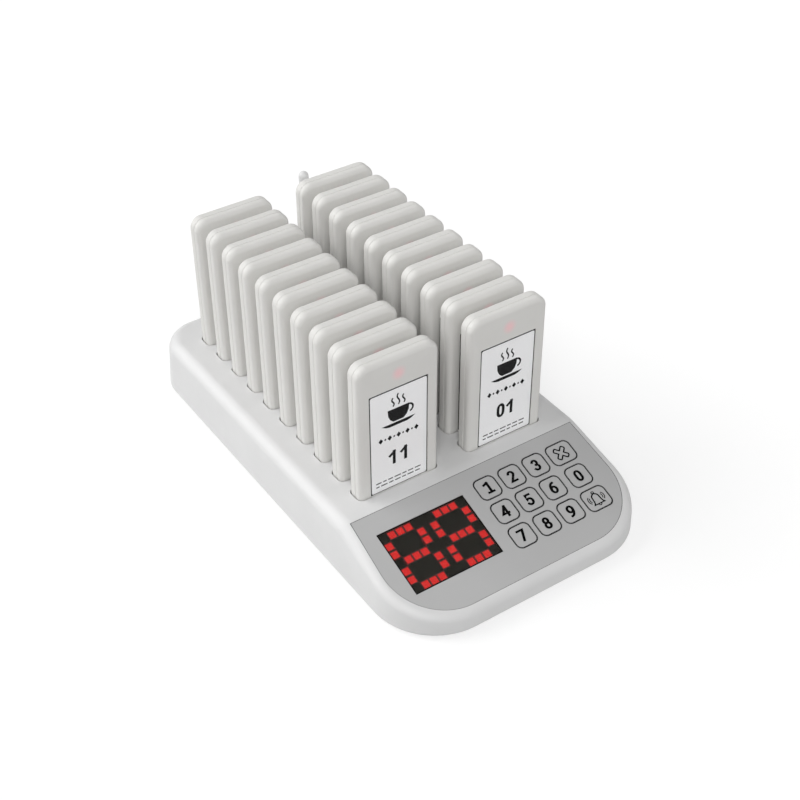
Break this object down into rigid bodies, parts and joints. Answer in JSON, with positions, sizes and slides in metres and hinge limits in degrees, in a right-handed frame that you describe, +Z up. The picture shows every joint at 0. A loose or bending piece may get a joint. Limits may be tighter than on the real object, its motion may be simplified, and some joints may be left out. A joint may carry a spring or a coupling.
{
  "type": "guest pager system",
  "caption": "Counter-top guest pager base with sloped keypad and LED display, and lift-out pagers charging in two rows of slots.",
  "frame": {"origin": "on the table, at the middle of the base's footprint", "axes": "+X right seen from the keypad side, +Y from the keypad towards the antenna, +Z up out of the slots"},
  "size_m": [0.1746, 0.3064, 0.1305],
  "materials": {
    "housing": "fine-textured white ABS",
    "pager_shell": "satin pale grey ABS, slightly translucent",
    "faceplate": "satin mid-grey faceplate",
    "key_cap": "satin grey key cap with black legend and outline",
    "smoked_window": "smoked clear plastic window",
    "display_black": "matt black display block",
    "display_red": "lit red diffuser squares",
    "silicone": "translucent silicone mat",
    "circuit_board": "green lacquered circuit board",
    "black_plastic": "black moulded plastic",
    "gilt": "gold-plated spring pins",
    "steel": "zinc-plated steel",
    "rubber": "black rubber foot",
    "label_card": "white printed card",
    "clear_cover": "clear film cover",
    "battery_wrap": "foil-wrapped cell"
  },
  "bodies": {
    "base": {"top_housing": "housing", "bottom_cover": "housing", "front_panel": "faceplate", "display_window": "smoked_window", "display_module": "display_black", "display_dots": "display_red", "keypad_mat": "silicone", "main_board": "circuit_board", "buzzer": "black_plastic", "charging_board": "circuit_board", "charging_contacts": "gilt", "housing_screws": "steel", "rubber_feet": "rubber", "antenna_rod": "housing", "antenna_collar": "housing", "power_inlet": "black_plastic"},
    "key_1": {"key_1": "key_cap"},
    "key_2": {"key_2": "key_cap"},
    "key_3": {"key_3": "key_cap"},
    "key_cancel": {"key_cancel": "key_cap"},
    "key_4": {"key_4": "key_cap"},
    "key_5": {"key_5": "key_cap"},
    "key_6": {"key_6": "key_cap"},
    "key_0": {"key_0": "key_cap"},
    "key_7": {"key_7": "key_cap"},
    "key_8": {"key_8": "key_cap"},
    "key_9": {"key_9": "key_cap"},
    "key_call": {"key_call": "key_cap"},
    "pager_01": {"pager_01_front_shell": "pager_shell", "pager_01_back_shell": "pager_shell", "pager_01_label_card": "label_card", "pager_01_label_cover": "clear_cover", "pager_01_board": "circuit_board", "pager_01_battery": "battery_wrap", "pager_01_motor": "steel"},
    "pager_02": {"pager_02": "pager_shell"},
    "pager_03": {"pager_03": "pager_shell"},
    "pager_04": {"pager_04": "pager_shell"},
    "pager_05": {"pager_05": "pager_shell"},
    "pager_06": {"pager_06": "pager_shell"},
    "pager_07": {"pager_07": "pager_shell"},
    "pager_08": {"pager_08": "pager_shell"},
    "pager_09": {"pager_09": "pager_shell"},
    "pager_10": {"pager_10": "pager_shell"},
    "pager_11": {"pager_11_front_shell": "pager_shell", "pager_11_back_shell": "pager_shell", "pager_11_label_card": "label_card", "pager_11_label_cover": "clear_cover", "pager_11_board": "circuit_board", "pager_11_battery": "battery_wrap", "pager_11_motor": "steel"},
    "pager_12": {"pager_12": "pager_shell"},
    "pager_13": {"pager_13": "pager_shell"},
    "pager_14": {"pager_14": "pager_shell"},
    "pager_15": {"pager_15": "pager_shell"},
    "pager_16": {"pager_16": "pager_shell"},
    "pager_17": {"pager_17": "pager_shell"},
    "pager_18": {"pager_18": "pager_shell"},
    "pager_19": {"pager_19": "pager_shell"},
    "pager_20": {"pager_20": "pager_shell"}
  },
  "joints": [
    {"name": "key_1_press", "type": "slide", "parent": "base", "child": "key_1", "axis": [0, 0.309, -0.9511], "range_m": [0, 0.0005], "stiffness_N_per_m": 2000},
    {"name": "key_2_press", "type": "slide", "parent": "base", "child": "key_2", "axis": [0, 0.309, -0.9511], "range_m": [0, 0.0005], "stiffness_N_per_m": 2000},
    {"name": "key_3_press", "type": "slide", "parent": "base", "child": "key_3", "axis": [0, 0.309, -0.9511], "range_m": [0, 0.0005], "stiffness_N_per_m": 2000},
    {"name": "key_cancel_press", "type": "slide", "parent": "base", "child": "key_cancel", "axis": [0, 0.309, -0.9511], "range_m": [0, 0.0005], "stiffness_N_per_m": 2000},
    {"name": "key_4_press", "type": "slide", "parent": "base", "child": "key_4", "axis": [0, 0.309, -0.9511], "range_m": [0, 0.0005], "stiffness_N_per_m": 2000},
    {"name": "key_5_press", "type": "slide", "parent": "base", "child": "key_5", "axis": [0, 0.309, -0.9511], "range_m": [0, 0.0005], "stiffness_N_per_m": 2000},
    {"name": "key_6_press", "type": "slide", "parent": "base", "child": "key_6", "axis": [0, 0.309, -0.9511], "range_m": [0, 0.0005], "stiffness_N_per_m": 2000},
    {"name": "key_0_press", "type": "slide", "parent": "base", "child": "key_0", "axis": [0, 0.309, -0.9511], "range_m": [0, 0.0005], "stiffness_N_per_m": 2000},
    {"name": "key_7_press", "type": "slide", "parent": "base", "child": "key_7", "axis": [0, 0.309, -0.9511], "range_m": [0, 0.0005], "stiffness_N_per_m": 2000},
    {"name": "key_8_press", "type": "slide", "parent": "base", "child": "key_8", "axis": [0, 0.309, -0.9511], "range_m": [0, 0.0005], "stiffness_N_per_m": 2000},
    {"name": "key_9_press", "type": "slide", "parent": "base", "child": "key_9", "axis": [0, 0.309, -0.9511], "range_m": [0, 0.0005], "stiffness_N_per_m": 2000},
    {"name": "key_call_press", "type": "slide", "parent": "base", "child": "key_call", "axis": [0, 0.309, -0.9511], "range_m": [0, 0.0005], "stiffness_N_per_m": 2000},
    {"name": "pager_01_lift", "type": "slide", "parent": "base", "child": "pager_01", "axis": [0, 0, 1], "range_m": [0, 0.05]},
    {"name": "pager_02_lift", "type": "slide", "parent": "base", "child": "pager_02", "axis": [0, 0, 1], "range_m": [0, 0.05]},
    {"name": "pager_03_lift", "type": "slide", "parent": "base", "child": "pager_03", "axis": [0, 0, 1], "range_m": [0, 0.05]},
    {"name": "pager_04_lift", "type": "slide", "parent": "base", "child": "pager_04", "axis": [0, 0, 1], "range_m": [0, 0.05]},
    {"name": "pager_05_lift", "type": "slide", "parent": "base", "child": "pager_05", "axis": [0, 0, 1], "range_m": [0, 0.05]},
    {"name": "pager_06_lift", "type": "slide", "parent": "base", "child": "pager_06", "axis": [0, 0, 1], "range_m": [0, 0.05]},
    {"name": "pager_07_lift", "type": "slide", "parent": "base", "child": "pager_07", "axis": [0, 0, 1], "range_m": [0, 0.05]},
    {"name": "pager_08_lift", "type": "slide", "parent": "base", "child": "pager_08", "axis": [0, 0, 1], "range_m": [0, 0.05]},
    {"name": "pager_09_lift", "type": "slide", "parent": "base", "child": "pager_09", "axis": [0, 0, 1], "range_m": [0, 0.05]},
    {"name": "pager_10_lift", "type": "slide", "parent": "base", "child": "pager_10", "axis": [0, 0, 1], "range_m": [0, 0.05]},
    {"name": "pager_11_lift", "type": "slide", "parent": "base", "child": "pager_11", "axis": [0, 0, 1], "range_m": [0, 0.05]},
    {"name": "pager_12_lift", "type": "slide", "parent": "base", "child": "pager_12", "axis": [0, 0, 1], "range_m": [0, 0.05]},
    {"name": "pager_13_lift", "type": "slide", "parent": "base", "child": "pager_13", "axis": [0, 0, 1], "range_m": [0, 0.05]},
    {"name": "pager_14_lift", "type": "slide", "parent": "base", "child": "pager_14", "axis": [0, 0, 1], "range_m": [0, 0.05]},
    {"name": "pager_15_lift", "type": "slide", "parent": "base", "child": "pager_15", "axis": [0, 0, 1], "range_m": [0, 0.05]},
    {"name": "pager_16_lift", "type": "slide", "parent": "base", "child": "pager_16", "axis": [0, 0, 1], "range_m": [0, 0.05]},
    {"name": "pager_17_lift", "type": "slide", "parent": "base", "child": "pager_17", "axis": [0, 0, 1], "range_m": [0, 0.05]},
    {"name": "pager_18_lift", "type": "slide", "parent": "base", "child": "pager_18", "axis": [0, 0, 1], "range_m": [0, 0.05]},
    {"name": "pager_19_lift", "type": "slide", "parent": "base", "child": "pager_19", "axis": [0, 0, 1], "range_m": [0, 0.05]},
    {"name": "pager_20_lift", "type": "slide", "parent": "base", "child": "pager_20", "axis": [0, 0, 1], "range_m": [0, 0.05]}
  ]
}
